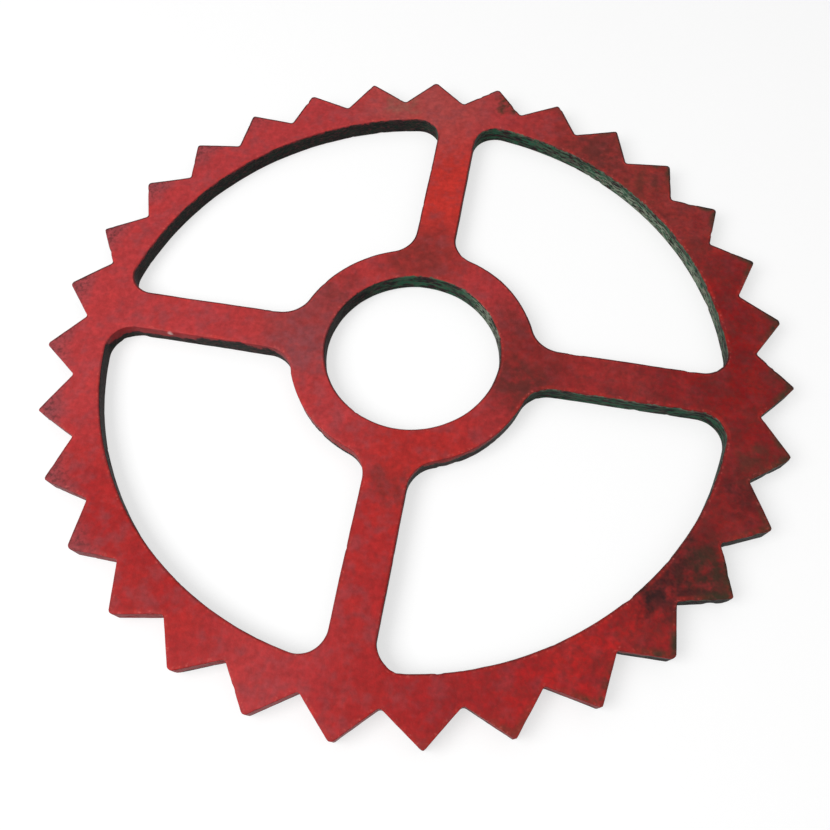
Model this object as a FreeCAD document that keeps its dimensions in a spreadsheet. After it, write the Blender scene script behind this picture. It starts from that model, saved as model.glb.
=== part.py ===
import FreeCAD, Part
import Sketcher
import os
from math import asin, cos, pi, radians, sin, tan

# Toothed roller ring: one flat iron casting with a ring of teeth round the rim, four spokes,
# a plain hub and a large bore. It lies on its underside at Z = 0, the bore axis is Z, the
# spokes lie along X and Y, and one tooth points along -Y. The outlines are drawn on the upper
# face, which is the largest, and the cast walls draw in from there down to the underside.
# Lengths are in millimetres, angles in degrees.

doc = FreeCAD.newDocument("roller_ring")

# Driving dimensions

SIZES = [
    ("ring_thickness", 16.0, "face to face, the same at rim, spokes and hub"),
    ("tip_radius", 265.0, "bore axis to the blunt end of a tooth"),
    ("tooth_depth", 22.0, "end of a tooth to the bottom of the gap beside it"),
    ("rim_width", 20.8, "bottom of a gap to the inner wall of the rim"),
    ("bore_radius", 62.5, "bore axis to the wall of the bore"),
    ("hub_width", 25.7, "wall of the bore to the outer wall of the hub"),
    ("spoke_width", 31.2, "side to side, constant along the spoke"),
    ("tooth_count", 31, "teeth round the rim, an odd number"),
    ("spoke_count", 4, "spokes, with one window between each two"),
    ("tip_land", 1.6, "width of the blunt end of a tooth"),
    ("gap_round", 2.0, "radius at the bottom of a gap between teeth"),
    ("rim_corner_round", 17.5, "radius where a spoke runs into the rim"),
    ("hub_corner_round", 21.5, "radius where a spoke runs into the hub"),
    ("wall_draft", 4.0, "slope of the cast walls, which leave the mould upwards"),
    ("tooth_edge_bevel", 0.8, "broken edge along the toothed outline"),
    ("window_edge_bevel", 1.2, "broken edge round each window"),
    ("bore_edge_bevel", 2.0, "worn edge at both mouths of the bore"),
]

ROOT_RADIUS = "(sizes.tip_radius - sizes.tooth_depth)"
RIM_INNER_RADIUS = "(sizes.tip_radius - sizes.tooth_depth - sizes.rim_width)"
HUB_RADIUS = "(sizes.bore_radius + sizes.hub_width)"

sheet = doc.addObject("Spreadsheet::Sheet", "sizes")
for row, (alias, value, meaning) in enumerate(SIZES, start=1):
    sheet.set(f"A{row}", alias)
    sheet.set(f"B{row}", str(value))
    sheet.set(f"C{row}", meaning)
    sheet.setAlias(f"B{row}", alias)
doc.recompute()


def size(alias):
    return float(sheet.get(alias))


tip_radius = size("tip_radius")
root_radius = tip_radius - size("tooth_depth")
rim_inner_radius = root_radius - size("rim_width")
bore_radius = size("bore_radius")
hub_radius = bore_radius + size("hub_width")

# Radii that part the outlines from one another, for finding their edges on the flat faces

CLEAR_OF_TEETH = 1.05
middle_of_hub = 0.5 * (bore_radius + hub_radius)
middle_of_rim = 0.5 * (rim_inner_radius + root_radius)
draft_inset = size("ring_thickness") * tan(radians(size("wall_draft")))
under_tip_bevel = tip_radius - draft_inset - 2 * size("tooth_edge_bevel")
outside_teeth = CLEAR_OF_TEETH * tip_radius

# Sketch helpers

ORIGIN_POINT = (-1, 1)
Y_AXIS = (-2,)
START, END, CENTRE = range(1, 4)
X_WAY = FreeCAD.Vector(1, 0, 0)
Z_UP = FreeCAD.Vector(0, 0, 1)
CONSTRUCTION = True


def origin_feature(body, role):
    return next(f for f in body.Origin.OriginFeatures if f.Role == role)


def flat_sketch(body, name):
    """Empty sketch on the upper face of the ring, centred on the bore axis."""
    sketch = body.newObject("Sketcher::SketchObject", name)
    sketch.AttachmentSupport = [(origin_feature(body, "XY_Plane"), "")]
    sketch.MapMode = "FlatFace"
    sketch.setExpression(".AttachmentOffset.Base.z", "sizes.ring_thickness")
    return sketch


def relate(sketch, *terms):
    return sketch.addConstraint(Sketcher.Constraint(*terms))


def dimension(sketch, name, expression, *terms):
    """Add a dimension to the sketch, name it and bind it to the sheet."""
    index = relate(sketch, *terms)
    sketch.renameConstraint(index, name)
    sketch.setExpression(f"Constraints.{name}", expression)


def polar(radius, angle):
    return FreeCAD.Vector(radius * cos(angle), radius * sin(angle), 0)


def line(start, end):
    return Part.LineSegment(start, end)


def arc(centre, radius, first_angle, last_angle):
    """Counter-clockwise arc, angles in radians."""
    return Part.ArcOfCircle(Part.Circle(centre, Z_UP, radius), first_angle, last_angle)


def circle_sketch(body, name, radius, expression):
    sketch = flat_sketch(body, name)
    circle = sketch.addGeometry(Part.Circle(FreeCAD.Vector(0, 0, 0), Z_UP, radius))
    relate(sketch, "Coincident", circle, CENTRE, *ORIGIN_POINT)
    dimension(sketch, "radius", expression, "Radius", circle, radius)
    return sketch


# Feature helpers

def cast_through(body, name, sketch):
    """Open the sketch down through the whole thickness, wider by the draft at the underside."""
    cut = body.newObject("PartDesign::Pocket", name)
    cut.Profile = sketch
    cut.setExpression("Length", "sizes.ring_thickness")
    cut.setExpression("TaperAngle", "sizes.wall_draft")
    return cut


def repeat_round(body, name, cuts, count_alias):
    """Repeat some cuts at even steps round the bore axis."""
    pattern = body.newObject("PartDesign::PolarPattern", name)
    pattern.Originals = cuts
    pattern.Axis = (origin_feature(body, "Z_Axis"), [""])
    pattern.Angle = 360
    pattern.setExpression("Occurrences", f"sizes.{count_alias}")
    body.Tip = pattern
    doc.recompute()
    return pattern


LEVEL = 1e-6


def face_edges(shape, inner_radius, outer_radius):
    """Names of the level edges whose middles lie between two radii."""
    names = []
    for number, edge in enumerate(shape.Edges, start=1):
        middle = edge.valueAt(0.5 * (edge.FirstParameter + edge.LastParameter))
        from_axis = FreeCAD.Vector(middle.x, middle.y, 0).Length
        if edge.BoundBox.ZLength < LEVEL and inner_radius < from_axis < outer_radius:
            names.append(f"Edge{number}")
    return names


def bevel_edges(body, name, alias, inner_radius, outer_radius):
    """Break every face edge that lies between two radii, by a size of the sheet."""
    base = body.Tip
    bevel = body.newObject("PartDesign::Chamfer", name)
    bevel.Base = (base, face_edges(base.Shape, inner_radius, outer_radius))
    bevel.setExpression("Size", f"sizes.{alias}")
    doc.recompute()
    return bevel


# The blank: a plain disc out to the ends of the teeth, with both its edges broken, which
# leaves the bevel on the blunt end of each tooth

def make_blank(body):
    blank = body.newObject("PartDesign::Pad", "blank")
    blank.Profile = circle_sketch(body, "blank_outline", tip_radius, "sizes.tip_radius")
    blank.Reversed = True
    blank.setExpression("Length", "sizes.ring_thickness")
    blank.setExpression("TaperAngle", "-sizes.wall_draft")
    doc.recompute()
    bevel_edges(body, "tip_bevels", "tooth_edge_bevel", root_radius, outside_teeth)


# The bore, which a core leaves straight

def make_bore(body):
    bore = body.newObject("PartDesign::Pocket", "bore")
    bore.Profile = circle_sketch(body, "bore_outline", bore_radius, "sizes.bore_radius")
    bore.Type = "ThroughAll"
    doc.recompute()


# The teeth: what is cut is the gap between two teeth, a V with a round bottom, closed by an
# arc out beyond the teeth. The first gap is centred on +Y. Its two flanks pass through the
# corners of the teeth on either side.

def tooth_gap_sketch(body):
    half_pitch = pi / size("tooth_count")
    gap_round = size("gap_round")
    corner_x = tip_radius * sin(half_pitch) - 0.5 * size("tip_land") * cos(half_pitch)
    corner = FreeCAD.Vector(corner_x, tip_radius * cos(asin(corner_x / tip_radius)), 0)
    round_centre = FreeCAD.Vector(0, root_radius + gap_round, 0)
    reach = corner - round_centre
    flank_angle = reach.getAngle(X_WAY) + asin(gap_round / reach.Length)
    flank = polar(1.0, flank_angle)
    lower_end = round_centre + polar(gap_round, flank_angle - 0.5 * pi)
    upper_end = lower_end + flank * ((outside_teeth - lower_end.y) / flank.y)
    mouth_round = upper_end.x / flank.y
    mouth_centre = FreeCAD.Vector(0, upper_end.y + mouth_round * flank.x, 0)

    def mirrored(spot):
        return FreeCAD.Vector(-spot.x, spot.y, 0)

    sketch = flat_sketch(body, "tooth_gap_outline")
    bottom = sketch.addGeometry(
        arc(round_centre, gap_round, -0.5 * pi - flank_angle, flank_angle - 0.5 * pi)
    )
    right = sketch.addGeometry(line(lower_end, upper_end))
    mouth = sketch.addGeometry(
        arc(mouth_centre, mouth_round, flank_angle - 0.5 * pi, 1.5 * pi - flank_angle)
    )
    left = sketch.addGeometry(line(mirrored(upper_end), mirrored(lower_end)))
    corners = sketch.addGeometry(line(mirrored(corner), corner), CONSTRUCTION)

    relate(sketch, "Tangent", bottom, END, right, START)
    relate(sketch, "Tangent", right, END, mouth, START)
    relate(sketch, "Tangent", mouth, END, left, START)
    relate(sketch, "Tangent", left, END, bottom, START)
    relate(sketch, "PointOnObject", bottom, CENTRE, *Y_AXIS)
    relate(sketch, "PointOnObject", corners, START, left)
    relate(sketch, "PointOnObject", corners, END, right)
    relate(sketch, "Symmetric", corners, START, corners, END, *Y_AXIS)
    dimension(sketch, "gap_round", "sizes.gap_round", "Radius", bottom, gap_round)
    dimension(
        sketch, "round_centre", f"{ROOT_RADIUS} + sizes.gap_round",
        "DistanceY", *ORIGIN_POINT, bottom, CENTRE, round_centre.y,
    )
    dimension(
        sketch, "corner_radius", "sizes.tip_radius",
        "Distance", *ORIGIN_POINT, corners, END, tip_radius,
    )
    dimension(
        sketch, "corner_span",
        "2 * sizes.tip_radius * sin(180 deg / sizes.tooth_count)"
        " - sizes.tip_land * cos(180 deg / sizes.tooth_count)",
        "DistanceX", corners, START, corners, END, 2 * corner_x,
    )
    dimension(
        sketch, "mouth_radius", f"{CLEAR_OF_TEETH} * sizes.tip_radius",
        "DistanceY", *ORIGIN_POINT, mouth, START, outside_teeth,
    )
    return sketch


def make_teeth(body):
    gap = cast_through(body, "tooth_gap", tooth_gap_sketch(body))
    doc.recompute()
    bevel = bevel_edges(body, "gap_bevels", "tooth_edge_bevel", middle_of_rim, under_tip_bevel)
    repeat_round(body, "teeth", [gap, bevel], "tooth_count")


# The windows: the first lies between the spoke on +X and the next one round. It is bounded
# by the rim, the hub and the sides of two spokes, with a round at each of its four corners.

def corner_centre(side_distance, corner_round, wall_radius, inside_wall):
    """Centre of a corner round beside the spoke on +X, and the radius it lies on."""
    centre_radius = wall_radius - corner_round if inside_wall else wall_radius + corner_round
    angle = asin((side_distance + corner_round) / centre_radius)
    return polar(centre_radius, angle), angle


def window_sketch(body):
    window_angle = 2 * pi / size("spoke_count")
    half_spoke = 0.5 * size("spoke_width")
    rim_round = size("rim_corner_round")
    hub_round = size("hub_corner_round")
    rim_centre, rim_angle = corner_centre(half_spoke, rim_round, rim_inner_radius, True)
    hub_centre, hub_angle = corner_centre(half_spoke, hub_round, hub_radius, False)
    bore_axis = FreeCAD.Vector(0, 0, 0)

    def across(spot):
        """Mirror a spot to the far side of the window."""
        return polar(spot.Length, window_angle - spot.getAngle(X_WAY))

    low_side = (
        FreeCAD.Vector(hub_centre.x, half_spoke, 0), FreeCAD.Vector(rim_centre.x, half_spoke, 0)
    )
    sketch = flat_sketch(body, "window_outline")
    outline = [
        line(*low_side),
        arc(rim_centre, rim_round, -0.5 * pi, rim_angle),
        arc(bore_axis, rim_inner_radius, rim_angle, window_angle - rim_angle),
        arc(across(rim_centre), rim_round, window_angle - rim_angle, window_angle + 0.5 * pi),
        line(across(low_side[1]), across(low_side[0])),
        arc(across(hub_centre), hub_round, window_angle + 0.5 * pi, window_angle + pi - hub_angle),
        arc(bore_axis, hub_radius, hub_angle, window_angle - hub_angle),
        arc(hub_centre, hub_round, pi + hub_angle, 1.5 * pi),
    ]
    low, low_rim, rim, high_rim, high, high_hub, hub, low_hub = [
        sketch.addGeometry(piece) for piece in outline
    ]
    relate(sketch, "Tangent", low, END, low_rim, START)
    relate(sketch, "Tangent", low_rim, END, rim, START)
    relate(sketch, "Tangent", rim, END, high_rim, START)
    relate(sketch, "Tangent", high_rim, END, high, START)
    relate(sketch, "Tangent", high, END, high_hub, START)
    relate(sketch, "Tangent", high_hub, END, hub, END)
    relate(sketch, "Tangent", hub, START, low_hub, START)
    relate(sketch, "Tangent", low_hub, END, low, START)
    relate(sketch, "Coincident", rim, CENTRE, *ORIGIN_POINT)
    relate(sketch, "Coincident", hub, CENTRE, *ORIGIN_POINT)
    relate(sketch, "Horizontal", low)
    dimension(
        sketch, "low_side", "sizes.spoke_width / 2",
        "Distance", *ORIGIN_POINT, low, half_spoke,
    )
    dimension(
        sketch, "high_side", "sizes.spoke_width / 2",
        "Distance", *ORIGIN_POINT, high, half_spoke,
    )
    dimension(
        sketch, "window_angle", "360 deg / sizes.spoke_count",
        "Angle", low, START, high, END, window_angle,
    )
    dimension(sketch, "rim_radius", RIM_INNER_RADIUS, "Radius", rim, rim_inner_radius)
    dimension(sketch, "hub_radius", HUB_RADIUS, "Radius", hub, hub_radius)
    dimension(sketch, "low_rim_round", "sizes.rim_corner_round", "Radius", low_rim, rim_round)
    dimension(sketch, "high_rim_round", "sizes.rim_corner_round", "Radius", high_rim, rim_round)
    dimension(sketch, "low_hub_round", "sizes.hub_corner_round", "Radius", low_hub, hub_round)
    dimension(sketch, "high_hub_round", "sizes.hub_corner_round", "Radius", high_hub, hub_round)
    return sketch


def make_windows(body):
    window = cast_through(body, "window", window_sketch(body))
    doc.recompute()
    repeat_round(body, "windows", [window], "spoke_count")


# The edges of the windows and the bore on both faces

def make_edges(body):
    bevel_edges(body, "bore_bevels", "bore_edge_bevel", 0.0, middle_of_hub)
    bevel_edges(body, "window_bevels", "window_edge_bevel", middle_of_hub, middle_of_rim)


ring = doc.addObject("PartDesign::Body", "roller_ring")
ring.Label = "roller_ring"
make_blank(ring)
make_bore(ring)
make_windows(ring)
make_teeth(ring)
make_edges(ring)
doc.recompute()

# Check and export

for item in doc.Objects:
    if "Invalid" in item.State or "Error" in item.State:
        raise SystemExit(f"{item.Label} failed: {item.State}")
for sketch in doc.findObjects("Sketcher::SketchObject"):
    if sketch.solve() != 0 or not sketch.FullyConstrained:
        raise SystemExit(f"{sketch.Label} is not fully constrained")

os.makedirs("parts", exist_ok=True)
for piece in [ring]:
    shape = piece.Shape
    if shape.isNull() or not shape.isValid() or len(shape.Solids) != 1:
        raise SystemExit(f"{piece.Label} is not one valid solid")
    shape.exportStep(f"parts/{piece.Label}.step")
    box = shape.BoundBox
    print(
        f"{piece.Label}: {shape.Volume / 1000:.1f} cm3,"
        f" {box.XLength:.1f} x {box.YLength:.1f} x {box.ZLength:.1f} mm,"
        f" {len(shape.Faces)} faces"
    )
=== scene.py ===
# %% [markdown]
# # A toothed roller ring in old red paint
#
# A field roller is a row of heavy iron rings on one shaft. This ring turns loosely between two
# smooth ones, and its teeth break the clods that would clog them. It is one flat iron casting:
# a toothed rim, four spokes, a hub and a large bore.
#
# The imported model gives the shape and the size. The lesson keeps both and builds a finer skin
# over them, because a casting's soft edges, swells and nicks need many points to be moved.

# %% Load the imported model
import math

import bmesh
import bpy
import numpy as np
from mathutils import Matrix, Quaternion, Vector, kdtree, noise
from mathutils.geometry import delaunay_2d_cdt, intersect_point_line


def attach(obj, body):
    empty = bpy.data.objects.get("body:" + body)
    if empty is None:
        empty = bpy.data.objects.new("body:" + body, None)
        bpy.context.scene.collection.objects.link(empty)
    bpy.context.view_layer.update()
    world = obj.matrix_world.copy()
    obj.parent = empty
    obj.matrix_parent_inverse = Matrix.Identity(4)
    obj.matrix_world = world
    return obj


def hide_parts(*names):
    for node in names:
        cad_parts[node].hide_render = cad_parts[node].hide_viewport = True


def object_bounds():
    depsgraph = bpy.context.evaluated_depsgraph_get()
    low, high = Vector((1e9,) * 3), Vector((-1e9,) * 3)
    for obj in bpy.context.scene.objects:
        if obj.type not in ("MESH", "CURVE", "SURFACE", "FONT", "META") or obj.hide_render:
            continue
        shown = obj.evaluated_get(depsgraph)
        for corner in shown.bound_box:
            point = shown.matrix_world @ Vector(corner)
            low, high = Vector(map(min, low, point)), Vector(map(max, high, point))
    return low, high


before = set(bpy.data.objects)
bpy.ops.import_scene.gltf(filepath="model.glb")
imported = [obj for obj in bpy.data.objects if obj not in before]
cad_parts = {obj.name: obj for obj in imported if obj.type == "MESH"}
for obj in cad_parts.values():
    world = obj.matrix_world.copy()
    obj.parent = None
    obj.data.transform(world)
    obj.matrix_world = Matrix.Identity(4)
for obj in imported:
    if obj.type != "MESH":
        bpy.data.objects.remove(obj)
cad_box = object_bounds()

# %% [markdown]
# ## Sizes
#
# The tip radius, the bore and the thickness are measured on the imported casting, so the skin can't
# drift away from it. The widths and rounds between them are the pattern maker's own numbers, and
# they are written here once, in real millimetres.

MM = 0.001
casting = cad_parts["roller_ring"]
point_radii = [math.hypot(vertex.co.x, vertex.co.y) for vertex in casting.data.vertices]

TIP_RADIUS = max(point_radii)
BORE_RADIUS = min(point_radii)
THICKNESS = cad_box[1].z - cad_box[0].z

TOOTH_COUNT = 31
TOOTH_DEPTH = 22.0 * MM
TIP_LAND = 1.6 * MM
GAP_ROUND = 2.0 * MM
RIM_WIDTH = 20.8 * MM
SPOKE_COUNT = 4
SPOKE_WIDTH = 31.2 * MM
HUB_WIDTH = 25.7 * MM
RIM_CORNER_ROUND = 17.5 * MM
HUB_CORNER_ROUND = 21.5 * MM
WALL_DRAFT = math.radians(4)

ROOT_RADIUS = TIP_RADIUS - TOOTH_DEPTH
RIM_INNER_RADIUS = ROOT_RADIUS - RIM_WIDTH
HUB_RADIUS = BORE_RADIUS + HUB_WIDTH

print(f"tips {2000 * TIP_RADIUS:.1f} mm, bore {2000 * BORE_RADIUS:.1f} mm across")
print(f"thickness {1000 * THICKNESS:.1f} mm")

# %% [markdown]
# ## The outlines
#
# Seen from above, the whole casting is three kinds of outline: one tooth, one window and the bore.
# Each could be drawn as a curve by hand, but straight stretches and arcs say better how the
# pattern was cut. Only one tooth and one window are drawn, because the rest are copies of them.

# %% Straight stretches and bends
STEP = 1.9 * MM
AXIS = Vector((0.0, 0.0))


def on_circle(radius, angle):
    return Vector((radius * math.cos(angle), radius * math.sin(angle)))


def stretch(start, end):
    """Points along a straight stretch, without its last one."""
    count = max(1, round((end - start).length / STEP))
    return [start.lerp(end, i / count) for i in range(count)]


def bend(centre, radius, first, last):
    """Points along an arc, without its last one. Angles are in radians."""
    count = max(4, round(abs(last - first) * radius / STEP))
    angles = [first + (last - first) * i / count for i in range(count)]
    return [centre + on_circle(radius, angle) for angle in angles]


def mirrored(points, mirror_angle):
    """The same points in the opposite order, on the other side of a line through the axis."""
    return [
        on_circle(point.length, 2 * mirror_angle - math.atan2(point.y, point.x))
        for point in reversed(points)
    ]


# %% One tooth, pointing along +X
def tooth_outline():
    half_pitch = math.pi / TOOTH_COUNT
    corner = Vector((math.sqrt(TIP_RADIUS**2 - TIP_LAND**2 / 4), TIP_LAND / 2))
    gap_centre = on_circle(ROOT_RADIUS + GAP_ROUND, half_pitch)
    reach = corner - gap_centre
    touch_angle = math.atan2(reach.y, reach.x) - math.acos(GAP_ROUND / reach.length)
    flank = stretch(corner, gap_centre + on_circle(GAP_ROUND, touch_angle))
    gap = bend(gap_centre, GAP_ROUND, touch_angle, half_pitch - math.pi)
    upper_half = flank + gap + [on_circle(ROOT_RADIUS, half_pitch)]
    return mirrored(upper_half, 0.0) + upper_half


tooth_points = tooth_outline()
print("one tooth:", len(tooth_points), "points")


# %% One window, between the spoke on +X and the next
def window_outline():
    half_spoke = SPOKE_WIDTH / 2
    middle = math.pi / SPOKE_COUNT
    rim_reach = RIM_INNER_RADIUS - RIM_CORNER_ROUND
    hub_reach = HUB_RADIUS + HUB_CORNER_ROUND
    rim_angle = math.asin((half_spoke + RIM_CORNER_ROUND) / rim_reach)
    hub_angle = math.asin((half_spoke + HUB_CORNER_ROUND) / hub_reach)
    rim_centre = on_circle(rim_reach, rim_angle)
    hub_centre = on_circle(hub_reach, hub_angle)
    side_start = Vector((rim_centre.x, half_spoke))
    side_end = Vector((hub_centre.x, half_spoke))
    lower_half = (
        bend(AXIS, RIM_INNER_RADIUS, middle, rim_angle)
        + bend(rim_centre, RIM_CORNER_ROUND, rim_angle, -math.pi / 2)
        + stretch(side_start, side_end)
        + bend(hub_centre, HUB_CORNER_ROUND, -math.pi / 2, hub_angle - math.pi)
        + bend(AXIS, HUB_RADIUS, hub_angle, middle)
        + [on_circle(HUB_RADIUS, middle)]
    )
    return lower_half + mirrored(lower_half, middle)


window_points = window_outline()
bore_points = bend(AXIS, BORE_RADIUS, 0.0, 2 * math.pi)
print("one window:", len(window_points), "points, bore:", len(bore_points), "points")

# %% [markdown]
# ## Small helpers for node trees
#
# Every tree in this lesson is built in the script. One helper adds a node and plugs in its
# values, and a few more stand for what comes up often: sums, smooth steps, noise, stored numbers.


# %% Node helpers
NUMBER, WHOLE, VECTOR = "NodeSocketFloat", "NodeSocketInt", "NodeSocketVector"
COLOUR, GEOMETRY, MATERIAL = "NodeSocketColor", "NodeSocketGeometry", "NodeSocketMaterial"


def add(tree, kind, inputs, **settings):
    """Add a node, choose its options, then fill its inputs with numbers or links."""
    made = tree.nodes.new(kind)
    made.location = (190 * len(tree.nodes), -160 * (len(tree.nodes) % 4))
    for setting, value in settings.items():
        setattr(made, setting, value)
    for name, value in inputs.items():
        if isinstance(value, bpy.types.NodeSocket):
            tree.links.new(value, made.inputs[name])
        else:
            made.inputs[name].default_value = value
    return made


def sum_of(tree, operation, *values):
    return add(tree, "ShaderNodeMath", dict(enumerate(values)), operation=operation).outputs[0]


def times(tree, *values):
    product = values[0]
    for value in values[1:]:
        product = sum_of(tree, "MULTIPLY", product, value)
    return product


def smooth(tree, value, start, end, low=0.0, high=1.0):
    """Ease from low at start to high at end, and stay flat outside them."""
    limits = {"Value": value, "From Min": start, "From Max": end, "To Min": low, "To Max": high}
    ramp = add(tree, "ShaderNodeMapRange", limits, interpolation_type="SMOOTHSTEP")
    return ramp.outputs["Result"]


def vector_sum(tree, operation, *vectors):
    """Vector maths. A length or a distance comes out as a number, the rest as a vector."""
    made = add(tree, "ShaderNodeVectorMath", dict(enumerate(vectors)), operation=operation)
    return made.outputs["Value" if operation in ("LENGTH", "DISTANCE") else "Vector"]


def scaled(tree, vector, share):
    inputs = {0: vector, "Scale": share}
    return add(tree, "ShaderNodeVectorMath", inputs, operation="SCALE").outputs[0]


def split(tree, vector):
    return add(tree, "ShaderNodeSeparateXYZ", {0: vector}).outputs


def cloudy(tree, vector, scale, detail=2.0, roughness=0.6):
    """Soft noise. Its first output is a number, its second a colour."""
    inputs = {"Vector": vector, "Scale": scale, "Detail": detail, "Roughness": roughness}
    return add(tree, "ShaderNodeTexNoise", inputs).outputs


def stored(tree, name):
    """A number that is stored with the points of a mesh."""
    inputs = {"Name": name}
    return add(tree, "GeometryNodeInputNamedAttribute", inputs, data_type="FLOAT").outputs[0]


def new_tree(name, kind, inputs, outputs):
    """An empty node group with named sockets. Returns the tree, what goes in and what comes out."""
    tree = bpy.data.node_groups.new(name, kind)
    for label, (socket_kind, value) in inputs.items():
        socket = tree.interface.new_socket(label, in_out="INPUT", socket_type=socket_kind)
        if value is not None:
            socket.default_value = value
    for label, socket_kind in outputs.items():
        tree.interface.new_socket(label, in_out="OUTPUT", socket_type=socket_kind)
    start = tree.nodes.new("NodeGroupInput")
    end = tree.nodes.new("NodeGroupOutput")
    return tree, start.outputs, end.inputs


# %% [markdown]
# ## Teeth and windows repeated round the axis
#
# The pattern maker cut 31 equal teeth, and use has worn each a little differently. Copying the
# points in a loop would do, but a Geometry Nodes tree keeps the count, the wear and the seed as
# plain inputs. It puts one copy on each of a row of points, turns it to its place, and then
# blunts each tooth by its own amount. Its result is working lines with no faces, so no material
# is set on them.


# %% The tree that repeats an outline
def repeat_tree():
    tree, given, result = new_tree(
        "repeat_round_axis",
        "GeometryNodeTree",
        {
            "Outline": (GEOMETRY, None),
            "Copies": (WHOLE, 4),
            "First angle": (NUMBER, 0.0),
            "Reach": (NUMBER, TIP_RADIUS),
            "Least wear": (NUMBER, 0.0),
            "Most wear": (NUMBER, 0.0),
            "Seed": (WHOLE, 1),
        },
        {"Outlines": GEOMETRY},
    )
    places = add(tree, "GeometryNodePoints", {"Count": given["Copies"]})
    index = add(tree, "GeometryNodeInputIndex", {})
    pitch = sum_of(tree, "DIVIDE", math.tau, given["Copies"])
    turn = sum_of(tree, "MULTIPLY_ADD", index.outputs[0], pitch, given["First angle"])
    wear = add(
        tree,
        "FunctionNodeRandomValue",
        {2: given["Least wear"], 3: given["Most wear"], "Seed": given["Seed"]},
        data_type="FLOAT",
    )
    marked = add(
        tree,
        "GeometryNodeStoreNamedAttribute",
        {"Geometry": places.outputs[0], "Name": "wear", "Value": wear.outputs[1]},
        data_type="FLOAT",
        domain="POINT",
    )
    rotation = add(tree, "ShaderNodeCombineXYZ", {"Z": turn})
    copies = add(
        tree,
        "GeometryNodeInstanceOnPoints",
        {
            "Points": marked.outputs[0],
            "Instance": given["Outline"],
            "Rotation": rotation.outputs[0],
        },
    )
    real = add(tree, "GeometryNodeRealizeInstances", {"Geometry": copies.outputs[0]})
    position = add(tree, "GeometryNodeInputPosition", {}).outputs[0]
    limit = sum_of(tree, "SUBTRACT", given["Reach"], stored(tree, "wear"))
    share = sum_of(tree, "DIVIDE", limit, vector_sum(tree, "LENGTH", position))
    share = sum_of(tree, "MINIMUM", share, 1.0)
    blunted = add(
        tree,
        "GeometryNodeSetPosition",
        {"Geometry": real.outputs[0], "Position": scaled(tree, position, share)},
    )
    tree.links.new(blunted.outputs[0], result["Outlines"])
    return tree


repeat_round_axis = repeat_tree()
print("tree", repeat_round_axis.name, "has", len(repeat_round_axis.nodes), "nodes")


# %% Run a tree on an object and keep the result as a plain mesh
def run_tree(thing, tree, values):
    """Add the tree as a modifier, set its inputs by identifier, bake it and take it off again."""
    modifier = thing.modifiers.new(tree.name, "NODES")
    modifier.node_group = tree
    for socket in tree.interface.items_tree:
        if socket.in_out == "INPUT" and socket.name in values:
            modifier[socket.identifier] = values[socket.name]
    graph = bpy.context.evaluated_depsgraph_get()
    baked = bpy.data.meshes.new_from_object(
        thing.evaluated_get(graph), preserve_all_data_layers=True, depsgraph=graph
    )
    thing.modifiers.remove(modifier)
    return baked


def line_object(name, points):
    mesh = bpy.data.meshes.new(name)
    edges = [(i, i + 1) for i in range(len(points) - 1)]
    mesh.from_pydata([(point.x, point.y, 0.0) for point in points], edges, [])
    thing = bpy.data.objects.new(name, mesh)
    bpy.context.collection.objects.link(thing)
    return thing


def repeated(name, points, values):
    """Repeat one outline round the axis and return the mesh of all the copies."""
    thing = line_object(name, points)
    baked = run_tree(thing, repeat_round_axis, values)
    bpy.data.objects.remove(thing)
    return baked


TOOTH_WEAR = (0.1 * MM, 0.8 * MM)
teeth_lines = repeated(
    "tooth_line",
    tooth_points,
    {
        "Copies": TOOTH_COUNT,
        "First angle": -math.pi / 2,
        "Reach": TIP_RADIUS,
        "Least wear": TOOTH_WEAR[0],
        "Most wear": TOOTH_WEAR[1],
        "Seed": 7,
    },
)
window_lines = repeated("window_line", window_points, {"Copies": SPOKE_COUNT})
print("teeth:", len(teeth_lines.vertices), "points")
print("windows:", len(window_lines.vertices), "points")


# %% Walk the lines into closed outlines, with the iron always on the left
SAME_PLACE = 0.01 * MM


def closed_outlines(mesh, iron_inside):
    work = bmesh.new()
    work.from_mesh(mesh)
    bmesh.ops.remove_doubles(work, verts=work.verts, dist=SAME_PLACE)
    work.verts.index_update()
    unvisited = {vertex.index: vertex for vertex in work.verts}
    outlines = []
    while unvisited:
        vertex = unvisited.pop(min(unvisited))
        walk = [vertex]
        while True:
            neighbours = [edge.other_vert(vertex) for edge in vertex.link_edges]
            onward = [each for each in neighbours if each.index in unvisited]
            if not onward:
                break
            vertex = unvisited.pop(onward[0].index)
            walk.append(vertex)
        outlines.append(np.array([(each.co.x, each.co.y) for each in walk]))
    work.free()
    return [wound(outline, iron_inside) for outline in outlines]


def wound(outline, iron_inside):
    """Turn an outline round if it runs the wrong way."""
    x, y = outline.T
    area = np.sum(x * np.roll(y, -1) - y * np.roll(x, -1)) / 2
    return outline if (area > 0) == iron_inside else outline[::-1]


toothed_outline = closed_outlines(teeth_lines, True)[0]
window_outlines = closed_outlines(window_lines, False)
bore_outline = wound(np.array([tuple(point) for point in bore_points]), False)
print("toothed outline:", len(toothed_outline), "points")
print("windows:", [len(outline) for outline in window_outlines])

# %% [markdown]
# ## Soft edges
#
# No edge of an old sand casting is sharp. The sand rounds it, the paint fills it and use wears
# it. A Bevel modifier would give every edge the same width, so the rounding is built here as rows
# of points instead, and its radius wanders along each outline. The bore's edge is worn most,
# because the neighbouring ring rubs there.


# %% Which way the iron lies, and how wide the edge is worn
WEAR_LENGTH = 28.0 * MM


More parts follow.
